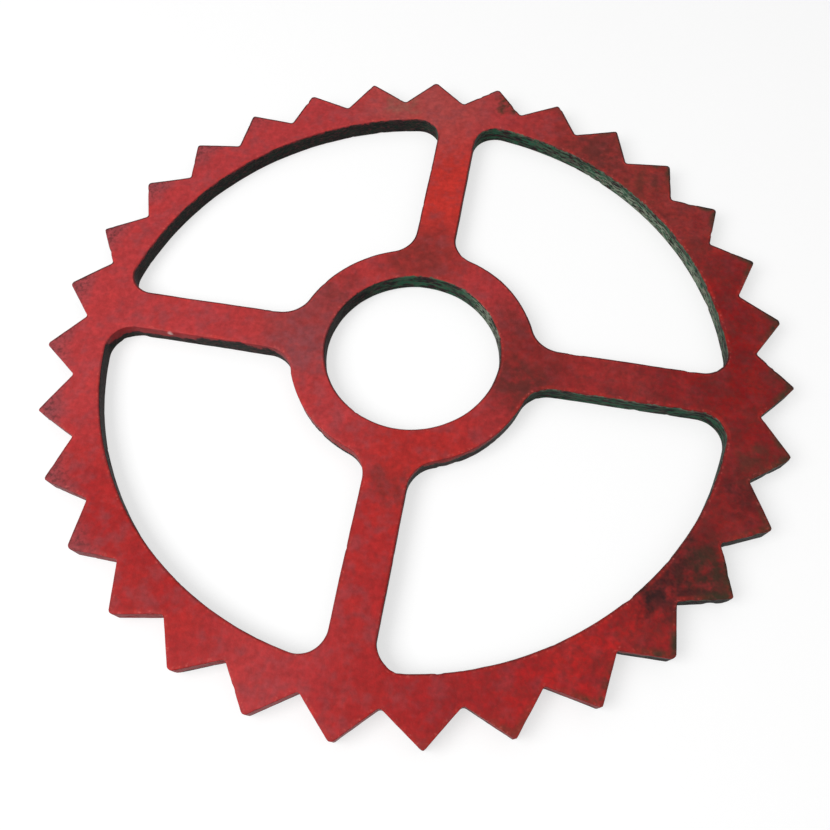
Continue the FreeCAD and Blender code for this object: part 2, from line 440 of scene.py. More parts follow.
def into_iron(outline):
    """For each point, the direction into the iron, long enough to keep both sides parallel."""
    before = outline - np.roll(outline, 1, axis=0)
    after = np.roll(outline, -1, axis=0) - outline
    before /= np.linalg.norm(before, axis=1, keepdims=True)
    after /= np.linalg.norm(after, axis=1, keepdims=True)
    left = np.stack([-before[:, 1], before[:, 0]], axis=1)
    next_left = np.stack([-after[:, 1], after[:, 0]], axis=1)
    together = np.sum(left * next_left, axis=1, keepdims=True)
    return (left + next_left) / (1 + together)


def wandering(outline, radius, spread, seed):
    """The radius of the edge at each point: its mean, more or less a share that wanders."""
    places = [Vector((x, y, seed * THICKNESS)) / WEAR_LENGTH for x, y in outline]
    return radius * (1 + spread * np.array([noise.noise(place) for place in places]))


# Mean radius of the edge, the share by which it wanders, and a seed
TOOTH_EDGE = (0.85 * MM, 0.25, 3)
WINDOW_EDGE = (1.3 * MM, 0.55, 11)
BORE_EDGE = (2.0 * MM, 0.4, 19)
STRAIGHT = 0.0
edges = [(toothed_outline, wandering(toothed_outline, *TOOTH_EDGE), WALL_DRAFT)]
edges += [(outline, wandering(outline, *WINDOW_EDGE), WALL_DRAFT) for outline in window_outlines]
edges += [(bore_outline, wandering(bore_outline, *BORE_EDGE), STRAIGHT)]
for _, radius, _ in edges:
    print(f"edge radius {1000 * radius.min():.2f} to {1000 * radius.max():.2f} mm")

# %% [markdown]
# ## The flat faces
#
# A flat face needs points inside it, or the cast skin would have nothing to move. A grid would
# leave odd slivers along the teeth. A lattice of even triangles, cut off a little short of the
# outlines and joined to them by a constrained triangulation, keeps all the triangles alike.

# %% Lattice points inside the iron
LATTICE = 2.05 * MM
ROW_HEIGHT = math.sqrt(3) / 2
CLEAR_OF_EDGE = 0.75 * LATTICE


def inside(points, outlines):
    """Count how many outline edges lie to the right of each point: odd means in the iron."""
    odd = np.zeros(len(points), bool)
    x, y = points.T
    for outline in outlines:
        for (x1, y1), (x2, y2) in zip(outline, np.roll(outline, -1, axis=0)):
            if y1 != y2:
                beside = (y1 > y) != (y2 > y)
                odd ^= beside & (x < (x2 - x1) * (y - y1) / (y2 - y1) + x1)
    return odd


def lattice(reach):
    across = np.arange(-reach, reach, LATTICE)
    up = np.arange(-reach, reach, LATTICE * ROW_HEIGHT)
    x, y = np.meshgrid(across, up)
    x[1::2] += LATTICE / 2
    return np.stack([x.ravel(), y.ravel()], axis=1)


class NearestEdge:
    """Finds how far a point lies from the nearest of several outlines."""

    def __init__(self, outlines):
        self.links = []
        for outline in outlines:
            flat = [Vector((x, y)) for x, y in outline]
            for i, point in enumerate(flat):
                self.links.append((flat[i - 1], point, flat[(i + 1) % len(flat)]))
        self.tree = kdtree.KDTree(len(self.links))
        for i, (_, point, _) in enumerate(self.links):
            self.tree.insert(point.to_3d(), i)
        self.tree.balance()

    def measure(self, x, y):
        """How far the outlines are from a point, and the number of the point nearest to it."""
        place = Vector((x, y))
        _, i, _ = self.tree.find(place.to_3d())
        before, point, after = self.links[i]
        away = min(self.to_stretch(place, before, point), self.to_stretch(place, point, after))
        return away, i

    @staticmethod
    def to_stretch(place, start, end):
        foot, share = intersect_point_line(place, start, end)
        return (place - start.lerp(end, min(max(share, 0.0), 1.0))).length


# %% Join the lattice to the outlines
face_outlines = [outline + into_iron(outline) * radius[:, None] for outline, radius, _ in edges]
nearest_face_edge = NearestEdge(face_outlines)
candidates = lattice(TIP_RADIUS)
candidates = candidates[inside(candidates, face_outlines)]
clear = [nearest_face_edge.measure(x, y)[0] > CLEAR_OF_EDGE for x, y in candidates]
face_points = np.vstack(face_outlines + [candidates[clear]])

face_edges = []
first = 0
for outline in face_outlines:
    count = len(outline)
    face_edges += [(first + i, first + (i + 1) % count) for i in range(count)]
    first += count

ANY_TRIANGLE = 0
cut = delaunay_2d_cdt(
    [Vector(point) for point in face_points], face_edges, [], ANY_TRIANGLE, 1e-9, False
)
triangles = np.array(cut[2])
middles = face_points[triangles].mean(axis=1)
triangles = triangles[inside(middles, face_outlines)]
print("flat face:", len(face_points), "points and", len(triangles), "triangles")

# %% [markdown]
# ## The casting's mesh
#
# The upper and lower face use the same triangles. Between them, each outline is carried down in
# rows: a quarter turn over the edge, the wall, and a quarter turn under. Three numbers are stored
# with every point, because the paint will need them: how far it lies from the edge, how far the
# surface has turned from flat, 0, to upright, 1, and whether the nearest wall faces the front, 1,
# or the back, -1.

# %% Rows from the upper face down to the lower one
ROUND_STEPS = 4
WALL_STEPS = 7


def profile():
    """Share of the inset, share of the drop, share of the wall and turn of each row, top first."""
    turns = np.linspace(0, math.pi / 2, ROUND_STEPS + 1)
    over = [(1 - math.sin(turn), 1 - math.cos(turn), 0.0, turn) for turn in turns]
    wall = [(0.0, 1.0, i / WALL_STEPS, math.pi / 2) for i in range(1, WALL_STEPS)]
    under = [(inset, drop, 1.0, turn) for inset, drop, _, turn in reversed(over)]
    return over + wall + under


def edge_rows(outline, radius, draft):
    rows = []
    direction = into_iron(outline)
    for inset, drop, down, turn in profile():
        upper = THICKNESS - radius * drop
        height = upper + (radius * drop - upper) * down
        drawn_in = (THICKNESS - height) * math.tan(draft)
        flat = outline + direction * (radius * inset + drawn_in)[:, None]
        rows.append((np.column_stack([flat, height]), radius * inset, turn / (math.pi / 2)))
    return rows


def to_front(outline):
    """How far the wall at each point faces the front, where Y is least."""
    direction = into_iron(outline)
    return direction[:, 1] / np.linalg.norm(direction, axis=1)


# %% Put faces and walls together
def casting_mesh():
    count = len(face_points)
    nearest = NearestEdge([outline for outline, _, _ in edges])
    measured = [nearest.measure(x, y) for x, y in face_points]
    from_edge = np.array([away for away, _ in measured])
    fronts = np.concatenate([to_front(outline) for outline, _, _ in edges])
    facing = [fronts[[i for _, i in measured]]] * 2
    places = [np.column_stack([face_points, np.full(count, height)]) for height in (THICKNESS, 0)]
    distances = [from_edge, from_edge]
    turned = [np.zeros(2 * count)]
    faces = triangles.tolist() + (triangles[:, ::-1] + count).tolist()
    free = 2 * count
    first_on_face = 0
    for outline, radius, draft in edges:
        size = len(outline)
        rows = edge_rows(outline, radius, draft)
        on_face = np.arange(first_on_face, first_on_face + size)
        places[1][on_face] = rows[-1][0]
        numbers = [on_face]
        for row, inset, turn in rows[1:-1]:
            places.append(row)
            distances.append(inset)
            turned.append(np.full(size, turn))
            facing.append(to_front(outline))
            numbers.append(np.arange(free, free + size))
            free += size
        numbers.append(on_face + count)
        for upper, lower in zip(numbers, numbers[1:]):
            quads = [upper, lower, np.roll(lower, -1), np.roll(upper, -1)]
            faces += np.stack(quads, axis=1).tolist()
        first_on_face += size
    mesh = bpy.data.meshes.new("ring_casting")
    mesh.from_pydata(np.vstack(places), [], faces)
    store(mesh, "from_edge", np.concatenate(distances))
    store(mesh, "turned", np.concatenate(turned))
    store(mesh, "to_front", np.concatenate(facing))
    return mesh


def store(mesh, name, values):
    attribute = mesh.attributes.new(name, "FLOAT", "POINT")
    attribute.data.foreach_set("value", values.astype(np.float32))


ring_casting = bpy.data.objects.new("ring_casting", casting_mesh())
bpy.context.collection.objects.link(ring_casting)
print("casting:", len(ring_casting.data.vertices), "points")
print("casting:", sum(len(face.vertices) - 2 for face in ring_casting.data.polygons), "triangles")

# %% [markdown]
# ## Paint: patches, spots and brush marks
#
# The finish is red paint brushed over a dark old coat, with grime on top. Four effects make most
# of it, at different sizes: ragged patches, single spots that each have a place, the torn outline
# of those spots, and the faint streaks of a wide brush. Each is a shader node group, so the
# paints below can use it again and again with their own values.


# %% Colours as seen, turned into light
def seen(red, green, blue):
    """A colour as a screen shows it, 0 to 255, as the linear values that a shader takes."""
    def linear(value):
        share = value / 255
        return share / 12.92 if share <= 0.04045 else ((share + 0.055) / 1.055) ** 2.4

    return (linear(red), linear(green), linear(blue), 1.0)


def mixed(tree, share, under, over, how="MIX"):
    inputs = {0: share, 6: under, 7: over}
    settings = {"data_type": "RGBA", "blend_type": how}
    return add(tree, "ShaderNodeMix", inputs, **settings).outputs[2]


def tinted(tree, colour, tint, *shares):
    """A colour with a tint over it. The product of the shares says how much."""
    return mixed(tree, times(tree, *shares), colour, tint)


# %% Ragged patches
def patches_group():
    tree, given, result = new_tree(
        "patches",
        "ShaderNodeTree",
        {
            "Vector": (VECTOR, None),
            "Size": (NUMBER, 10 * MM),
            "Cover": (NUMBER, 0.5),
            "Softness": (NUMBER, 0.5),
            "Seed": (NUMBER, 0.0),
        },
        {"Mask": NUMBER},
    )
    place = scaled(tree, given["Vector"], sum_of(tree, "DIVIDE", 1.0, given["Size"]))
    shift = times(tree, given["Seed"], 17.3)
    cloud = cloudy(tree, vector_sum(tree, "ADD", place, shift), 1.0)[0]
    level = sum_of(tree, "MULTIPLY_ADD", given["Cover"], -0.5, 0.75)
    half = times(tree, given["Softness"], 0.15)
    low = sum_of(tree, "SUBTRACT", level, half)
    high = sum_of(tree, "ADD", level, half)
    tree.links.new(smooth(tree, cloud, low, high), result["Mask"])
    return tree


patches = patches_group()


def placed_group(tree, group, values):
    """Place a group and fill its inputs by name, with numbers or links."""
    placed = add(tree, "ShaderNodeGroup", {}, node_tree=group)
    for name, value in values.items():
        if isinstance(value, bpy.types.NodeSocket):
            tree.links.new(value, placed.inputs[name])
        else:
            placed.inputs[name].default_value = value
    return placed.outputs


def patch(tree, vector, size, cover, softness, seed):
    """Ragged patches, with their size in millimetres."""
    values = {"Vector": vector, "Size": size * MM, "Cover": cover, "Softness": softness}
    return placed_group(tree, patches, values | {"Seed": seed})["Mask"]


# %% Spots that have a place, and the push that tears their outline
def torn_place_group():
    tree, given, result = new_tree(
        "torn_place",
        "ShaderNodeTree",
        {"Vector": (VECTOR, None), "Reach": (NUMBER, 20 * MM)},
        {"Vector": VECTOR},
    )
    grain = cloudy(tree, given["Vector"], 75.0, 3.0, 0.65)[1]
    swing = vector_sum(tree, "SUBTRACT", grain, (0.5, 0.5, 0.5))
    pushed = scaled(tree, swing, times(tree, given["Reach"], 2.0))
    moved = vector_sum(tree, "ADD", given["Vector"], pushed)
    flat = vector_sum(tree, "MULTIPLY", moved, (1.0, 1.0, 0.0))
    tree.links.new(flat, result["Vector"])
    return tree


def spot_group():
    tree, given, result = new_tree(
        "spot",
        "ShaderNodeTree",
        {
            "Vector": (VECTOR, None),
            "Centre": (VECTOR, None),
            "Radius": (NUMBER, 20 * MM),
            "Strength": (NUMBER, 1.0),
        },
        {"Mask": NUMBER},
    )
    away = vector_sum(tree, "DISTANCE", given["Vector"], given["Centre"])
    core = times(tree, given["Radius"], 0.3)
    mask = smooth(tree, away, core, given["Radius"], given["Strength"], 0.0)
    tree.links.new(mask, result["Mask"])
    return tree


torn_place = torn_place_group()
spots = spot_group()


def torn(tree, vector, reach):
    values = {"Vector": vector, "Reach": reach * MM}
    return placed_group(tree, torn_place, values)["Vector"]


def spot(tree, torn_vector, centre, radius, strength=1.0):
    """A soft round spot seen from above. Centre and radius are in millimetres."""
    middle = (centre[0] * MM, centre[1] * MM, 0.0)
    values = {"Vector": torn_vector, "Centre": middle, "Radius": radius * MM}
    return placed_group(tree, spots, values | {"Strength": strength})["Mask"]


# %% Brush marks that cross
def brush_group():
    tree, given, result = new_tree(
        "brush_marks",
        "ShaderNodeTree",
        {"Vector": (VECTOR, None), "Length": (NUMBER, 30 * MM), "Width": (NUMBER, 2 * MM)},
        {"Shade": NUMBER},
    )
    along = sum_of(tree, "DIVIDE", 1.0, given["Length"])
    across = sum_of(tree, "DIVIDE", 1.0, given["Width"])
    shades = []
    for x_scale, y_scale in ((along, across), (across, along)):
        scale = add(tree, "ShaderNodeCombineXYZ", {"X": x_scale, "Y": y_scale, "Z": across})
        squeezed = vector_sum(tree, "MULTIPLY", given["Vector"], scale.outputs[0])
        shades.append(cloudy(tree, squeezed, 1.0, 1.0, 0.5)[0])
    both = times(tree, sum_of(tree, "ADD", *shades), 0.5)
    tree.links.new(smooth(tree, both, 0.3, 0.7), result["Shade"])
    return tree


brush_marks = brush_group()


def brushed(tree, vector, length, width):
    values = {"Vector": vector, "Length": length * MM, "Width": width * MM}
    return placed_group(tree, brush_marks, values)["Shade"]


print("groups:", patches.name, torn_place.name, spots.name, brush_marks.name)

# %% [markdown]
# ## The red coat
#
# From above the ring is red, but not one red. The left side is a chalky rose, the far spoke
# scarlet, and the right side a dull crimson under brown grime. The darkening towards the right
# is partly paint and partly painted shade, for light that falls from the left. So the base is a
# row of broad tints, each with its place, and a few stains have their own place too. The layers
# go on in the order a painter would think of them: paint, mottling, stains, worn edges with a
# painted highlight along them, brush marks.

# %% Broad tints: place, radius, colour and strength
TINTS = [
    ((-170, -200), 150, seen(165, 20, 22), 0.9),
    ((60, -240), 130, seen(163, 21, 24), 0.85),
    ((150, -200), 80, seen(184, 26, 27), 0.9),
    ((0, 150), 80, seen(202, 50, 41), 0.95),
    ((0, -150), 70, seen(175, 33, 34), 0.85),
    ((-30, 240), 80, seen(174, 80, 76), 0.7),
    ((20, -84), 70, seen(180, 36, 32), 0.8),
    ((-78, 6), 52, seen(144, 62, 63), 0.75),
    ((-8, 80), 56, seen(150, 46, 42), 0.75),
    ((84, 0), 56, seen(124, 32, 30), 0.75),
    ((150, 8), 60, seen(158, 46, 46), 0.7),
    ((150, 195), 130, seen(154, 52, 47), 0.85),
    ((245, 40), 110, seen(135, 5, 8), 0.9),
    ((235, -120), 90, seen(126, 28, 27), 0.7),
]

# %% Stains: place, radius, colour and strength
BROWN = seen(92, 42, 37)
OLIVE = seen(56, 50, 34)
# This dark colour is used for soot stains and for the painted shade along edges.
SOOT_AND_SHADE = seen(38, 24, 24)
MAUVE = seen(132, 72, 78)
PUTTY = seen(118, 96, 80)

STAINS = [
    ((198, -132), 42, SOOT_AND_SHADE, 0.8),
    ((174, -146), 20, SOOT_AND_SHADE, 0.9),
    ((214, -126), 26, OLIVE, 0.6),
    ((231, -72), 22, SOOT_AND_SHADE, 0.6),
    ((240, -48), 20, OLIVE, 0.5),
    ((79, -14), 32, BROWN, 0.8),
    ((66, 34), 24, BROWN, 0.45),
    ((-49, 237), 20, PUTTY, 0.45),
    ((42, 248), 17, OLIVE, 0.9),
    ((112, 204), 38, BROWN, 0.7),
    ((152, 176), 24, OLIVE, 0.35),
    ((196, 118), 24, BROWN, 0.2),
    ((-62, 42), 26, BROWN, 0.45),
    ((-76, -8), 30, MAUVE, 0.5),
    ((-10, 80), 34, BROWN, 0.45),
    ((2, -104), 18, BROWN, 0.5),
    ((262, -42), 12, SOOT_AND_SHADE, 0.9),
]

# %% The red coat as a group
# Scarlet is used for broad patches and, along the edges, partly as a painted highlight.
SCARLET = seen(200, 46, 34)
ROSE = seen(186, 58, 61)
CRIMSON = seen(144, 28, 30)
# This dark red is used for mottling and for painted shade on the walls.
WINE = seen(112, 26, 30)
CORAL = seen(214, 96, 88)


def red_coat_group():
    tree, given, result = new_tree(
        "red_coat",
        "ShaderNodeTree",
        {"Vector": (VECTOR, None), "Torn": (VECTOR, None), "From edge": (NUMBER, 10 * MM)},
        {"Colour": COLOUR, "Grime": NUMBER, "Marks": NUMBER},
    )
    where, torn_vector, edge = given["Vector"], given["Torn"], given["From edge"]
    across = split(tree, where)["X"]
    rightward = smooth(tree, across, 0.0, 190 * MM)
    leftward = smooth(tree, across, -130 * MM, -205 * MM)

    # Rose on the left to crimson on the right: partly paint, and partly painted shade for light
    # falling from the left.
    colour = mixed(tree, rightward, ROSE, CRIMSON)
    for centre, radius, tint, strength in TINTS:
        colour = mixed(tree, spot(tree, torn_vector, centre, radius, strength), colour, tint)

    broad = patch(tree, where, 24, 0.5, 2.0, 1)
    colour = tinted(tree, colour, SCARLET, broad, 0.25)
    mottled = patch(tree, where, 8, 0.5, 1.2, 2)
    share = sum_of(tree, "MULTIPLY_ADD", rightward, 0.3, 0.2)
    colour = tinted(tree, colour, WINE, mottled, share)
    bloom = patch(tree, where, 11, 0.34, 1.0, 3)
    share = sum_of(tree, "MULTIPLY_ADD", rightward, -0.2, 0.35)
    colour = tinted(tree, colour, MAUVE, bloom, share)

    broken = patch(tree, where, 7, 0.66, 1.4, 20)
    grime = times(tree, patch(tree, where, 16, 0.42, 1.2, 4), broken, rightward, 0.5)
    colour = mixed(tree, grime, colour, BROWN)
    for centre, radius, stain, strength in STAINS:
        share = times(tree, spot(tree, torn_vector, centre, radius, strength), broken)
        colour = mixed(tree, share, colour, stain)
        grime = sum_of(tree, "MAXIMUM", grime, share)

    # A brighter scarlet band along the edges: paint rolled thick there, and a painted highlight
    # where the rounded edge catches light.
    uneven = patch(tree, where, 12, 0.45, 1.0, 5)
    rolled_edge_and_highlight = times(tree, smooth(tree, edge, 4.0 * MM, 2.0 * MM), uneven)
    colour = tinted(tree, colour, SCARLET, rolled_edge_and_highlight, 0.3)
    chalk = patch(tree, where, 3, 0.22, 0.8, 6)
    chalked = times(tree, smooth(tree, edge, 3.4 * MM, 1.8 * MM), chalk)
    colour = tinted(tree, colour, CORAL, chalked, 0.5)

    near_tip = smooth(tree, vector_sum(tree, "LENGTH", where), 243 * MM, 259 * MM)
    dots = patch(tree, where, 2.6, 0.4, 0.8, 7)
    faded_tip = times(tree, near_tip, leftward)
    colour = tinted(tree, colour, MAUVE, faded_tip, 0.55)
    colour = tinted(tree, colour, SOOT_AND_SHADE, faded_tip, dots, 0.5)
    bare_edge = times(tree, smooth(tree, edge, 6.0 * MM, 2.0 * MM), rightward, near_tip, broken)
    colour = tinted(tree, colour, OLIVE, bare_edge, 0.95)
    share = sum_of(tree, "MULTIPLY_ADD", rightward, 0.2, 0.12)
    colour = tinted(tree, colour, BROWN, dots, share)

    marks = brushed(tree, where, 16, 3.5)
    specks = patch(tree, where, 4, 0.5, 1.8, 21)
    shade = sum_of(tree, "MULTIPLY_ADD", specks, 0.26, 0.83)
    shade = sum_of(tree, "MULTIPLY_ADD", marks, 0.1, shade)
    grey = add(tree, "ShaderNodeCombineXYZ", {"X": shade, "Y": shade, "Z": shade})
    colour = mixed(tree, 1.0, colour, grey.outputs[0], "MULTIPLY")
    tree.links.new(colour, result["Colour"])
    tree.links.new(grime, result["Grime"])
    tree.links.new(marks, result["Marks"])
    return tree


red_coat = red_coat_group()
print("red coat:", len(TINTS), "tints,", len(STAINS), "stains,", len(red_coat.nodes), "nodes")

# %% [markdown]
# ## The dark walls
#
# The brush hardly reached the walls. They keep the old dark coat, almost black with a green cast.
# It lies in streaks along the wall, as it was wiped on. On the far right much of it has gone grey
# green.

# %% The dark coat as a group
BLACK = seen(26, 27, 27)
BOTTLE = seen(48, 98, 74)
FLAKE = seen(162, 176, 154)


def dark_coat_group():
    tree, given, result = new_tree(
        "dark_coat",
        "ShaderNodeTree",
        {"Vector": (VECTOR, None), "Torn": (VECTOR, None)},
        {"Colour": COLOUR, "Flakes": NUMBER},
    )
    where, torn_vector = given["Vector"], given["Torn"]
    height = split(tree, where)["Z"]
    lengthwise = vector_sum(tree, "MULTIPLY", where, (1.0, 1.0, 4.0))
    streaks = patch(tree, lengthwise, 10, 0.5, 0.6, 8)
    fine_streaks = patch(tree, lengthwise, 5, 0.5, 0.3, 9)

    far_right = spot(tree, torn_vector, (175, 130), 150)
    green = far_right
    for centre, radius in (((90, 200), 140), ((10, 64), 72), ((170, -14), 110)):
        green = sum_of(tree, "MAXIMUM", green, spot(tree, torn_vector, centre, radius))
    green = times(tree, streaks, sum_of(tree, "MULTIPLY_ADD", green, 0.78, 0.12))
    colour = mixed(tree, green, BLACK, BOTTLE)

    low = smooth(tree, height, 13 * MM, 8 * MM, 0.1, 1.0)
    bore_right = spot(tree, torn_vector, (52, 36), 34)
    flaking = sum_of(tree, "MAXIMUM", times(tree, far_right, low), times(tree, bore_right, 0.8))
    flakes = times(tree, fine_streaks, flaking)
    colour = tinted(tree, colour, FLAKE, flakes, 0.75)

    dust = times(tree, patch(tree, lengthwise, 3, 0.35, 0.6, 11), 0.3)
    colour = mixed(tree, dust, colour, MAUVE)
    tree.links.new(colour, result["Colour"])
    tree.links.new(flakes, result["Flakes"])
    return tree


dark_coat = dark_coat_group()
print("dark coat:", len(dark_coat.nodes), "nodes")

# %% [markdown]
# ## Where red meets dark
#
# The painter stood in front of the ring. On the walls that face the front the red rolls over the
# edge and stops a few millimetres down, never in a straight line, and towards the near left the
# brush was fuller and the red ran most of the way down. So how far it runs is a list of places
# too. On the walls that face the back it stops at the edge, and a thin dark line along that edge,
# fainter on the near half, is painted shade where the edge turns away. The red on the walls is
# darkened a little as painted shade. Faces and walls are two materials, because the brushed face
# is glossier than the wall, and gloss settings stay on the shader itself. Both place the same
# group, so the ragged border runs on without a seam.

# %% How far the red runs down the walls: place, radius and depth in millimetres
RUNS = [
    ((-235, -110), 120, 15.0),
    ((-150, -210), 130, 16.0),
    ((-30, -255), 140, 15.0),
    ((100, -235), 130, 13.0),
    ((-190, -14), 62, 9.5),
    ((-225, -55), 90, 10.0),
    ((-72, -52), 80, 11.0),
    ((-30, -88), 70, 11.0),
    ((50, -76), 50, 7.0),
    ((14, -160), 100, 10.0),
]

# %% Where one thick run of paint hangs, with a painted highlight on it
RUN_PLACE = (-177 * MM, -SPOKE_WIDTH / 2, 13.5 * MM)


# %% The two coats together
def painted_iron_group():
    tree, given, result = new_tree(
        "painted_iron",
        "ShaderNodeTree",
        {
            "Vector": (VECTOR, None),
            "From edge": (NUMBER, 10 * MM),
            "Turned": (NUMBER, 0.0),
            "To front": (NUMBER, 0.0),
        },
        {"Colour": COLOUR, "Roughness": NUMBER, "Height": NUMBER},
    )
    where, from_edge = given["Vector"], given["From edge"]
    torn_vector = torn(tree, where, 18)
    values = {"Vector": where, "Torn": torn_vector}
    upright = smooth(tree, given["Turned"], 0.3, 0.7)
    off_wall = sum_of(tree, "MULTIPLY_ADD", upright, 10 * MM, from_edge)
    red = placed_group(tree, red_coat, values | {"From edge": off_wall})
    dark = placed_group(tree, dark_coat, values)

    from_axis = vector_sum(tree, "LENGTH", where)
    reach = smooth(tree, from_axis, 66 * MM, 74 * MM, 0.0, 2.0 * MM)
    for centre, radius, depth in RUNS:
        run = spot(tree, torn_vector, centre, radius, depth * MM)
        reach = sum_of(tree, "MAXIMUM", reach, run)
    front = smooth(tree, given["To front"], -0.15, 0.35)
    reach = times(tree, reach, front)
    apart = split(tree, where)
    below_face = sum_of(tree, "SUBTRACT", THICKNESS, apart["Z"])
    ragged = patch(tree, where, 6, 0.5, 1.8, 10)
    ragged = sum_of(tree, "MULTIPLY_ADD", ragged, 3.0 * MM, -0.5 * MM)
    past_red = sum_of(tree, "SUBTRACT", sum_of(tree, "ADD", below_face, ragged), reach)
    over_edge = times(tree, smooth(tree, past_red, -0.8 * MM, 0.8 * MM), upright)
    lip = smooth(tree, sum_of(tree, "ADD", from_axis, ragged), 66.2 * MM, 65.2 * MM)
    over_edge = sum_of(tree, "MAXIMUM", over_edge, times(tree, lip, front))
    # The red on the walls is darkened towards wine as painted shade.
    shaded_wall_red = mixed(tree, times(tree, upright, 0.3), red["Colour"], WINE)
    colour = mixed(tree, over_edge, shaded_wall_red, dark["Colour"])

    # A thin dark line along the face's edge where the wall faces the back: painted shade where the
    # edge turns away, fainter on the near half.
    line = smooth(tree, from_edge, 2.1 * MM, 1.2 * MM)
    line = times(tree, line, smooth(tree, apart["Y"], -50 * MM, 40 * MM, 0.35, 0.8))
    hidden = sum_of(tree, "SUBTRACT", 1.0, front)
    colour = tinted(tree, colour, SOOT_AND_SHADE, line, hidden)

    rightward = smooth(tree, apart["X"], -40 * MM, 120 * MM)
    border = times(
        tree,
        smooth(tree, past_red, -0.6 * MM, 0.4 * MM),
        smooth(tree, past_red, 2.6 * MM, 1.0 * MM),
        patch(tree, where, 4, 0.5, 0.8, 12),
        upright,
    )
    pale = mixed(tree, rightward, MAUVE, FLAKE)
    colour = tinted(tree, colour, pale, border, 0.3)
    # A small pale pink spot on the run of paint is a painted highlight.
    at_run = {"Vector": where, "Centre": RUN_PLACE, "Radius": 2.8 * MM, "Strength": 0.9}
    painted_highlight = placed_group(tree, spots, at_run)["Mask"]
    colour = mixed(tree, painted_highlight, colour, seen(232, 190, 186))

    grain = cloudy(tree, where, 700.0)[0]
    dry = sum_of(tree, "MULTIPLY_ADD", red["Grime"], 0.25, 0.45)
    dry = sum_of(tree, "MULTIPLY_ADD", over_edge, 0.12, dry)
    roughness = sum_of(tree, "MULTIPLY_ADD", grain, 0.12, dry)

    brush_height = times(tree, red["Marks"], 0.04 * MM)
    grain_height = sum_of(tree, "MULTIPLY_ADD", grain, 0.12 * MM, brush_height)
    scale = times(tree, dark["Flakes"], -0.15 * MM)
    tree.links.new(colour, result["Colour"])
    tree.links.new(roughness, result["Roughness"])
    tree.links.new(sum_of(tree, "ADD", grain_height, scale), result["Height"])
    return tree


painted_iron = painted_iron_group()


# %% The face paint and the wall paint
STORED_VALUES = {"From edge": "from_edge", "Turned": "turned", "To front": "to_front"}


def paint_material(name, specular, refraction):
    material = bpy.data.materials.new(name)
    material.use_nodes = True
    tree = material.node_tree
    shader = tree.nodes["Principled BSDF"]
    shader.inputs["Specular IOR Level"].default_value = specular
    shader.inputs["IOR"].default_value = refraction
    values = {"Vector": add(tree, "ShaderNodeTexCoord", {}).outputs["Object"]}
    for label, name in STORED_VALUES.items():
        values[label] = add(tree, "ShaderNodeAttribute", {}, attribute_name=name).outputs["Fac"]
    finish = placed_group(tree, painted_iron, values)
    relief = {"Height": finish["Height"], "Strength": 1.0, "Distance": 1.0}
    bump = add(tree, "ShaderNodeBump", relief)
    tree.links.new(finish["Colour"], shader.inputs["Base Color"])
    tree.links.new(finish["Roughness"], shader.inputs["Roughness"])
    tree.links.new(bump.outputs["Normal"], shader.inputs["Normal"])
    return material


face_paint = paint_material("brushed_red_paint", 0.2, 1.45)
wall_paint = paint_material("old_dark_paint", 0.15, 1.35)
print("materials:", face_paint.name, wall_paint.name)

# %% [markdown]
# ## The cast skin
#
# Under the paint the iron isn't true. It swells a little over a hand's width, it is grained by
# the sand, and its edges carry nicks. Sculpting would do it, but a Geometry Nodes tree does it
# from a few plain sizes and a fixed seed. It only ever takes iron away, so the ring can't grow
# past its real size. One run of paint hangs on a spoke, and that alone stands proud of its wall.


# %% The sizes of the cast skin, and its tree
SKIN_SIZES = {
    "Swell depth": 0.3 * MM,
    "Swell size": 45 * MM,
    "Grain depth": 0.1 * MM,
    "Grain size": 7 * MM,
    "Nick depth": 0.7 * MM,
    "Nick size": 9 * MM,
    "Nick reach": 2.5 * MM,
    "Run radius": 4 * MM,
    "Run height": 1 * MM,
    "Seed": 4.0,
}


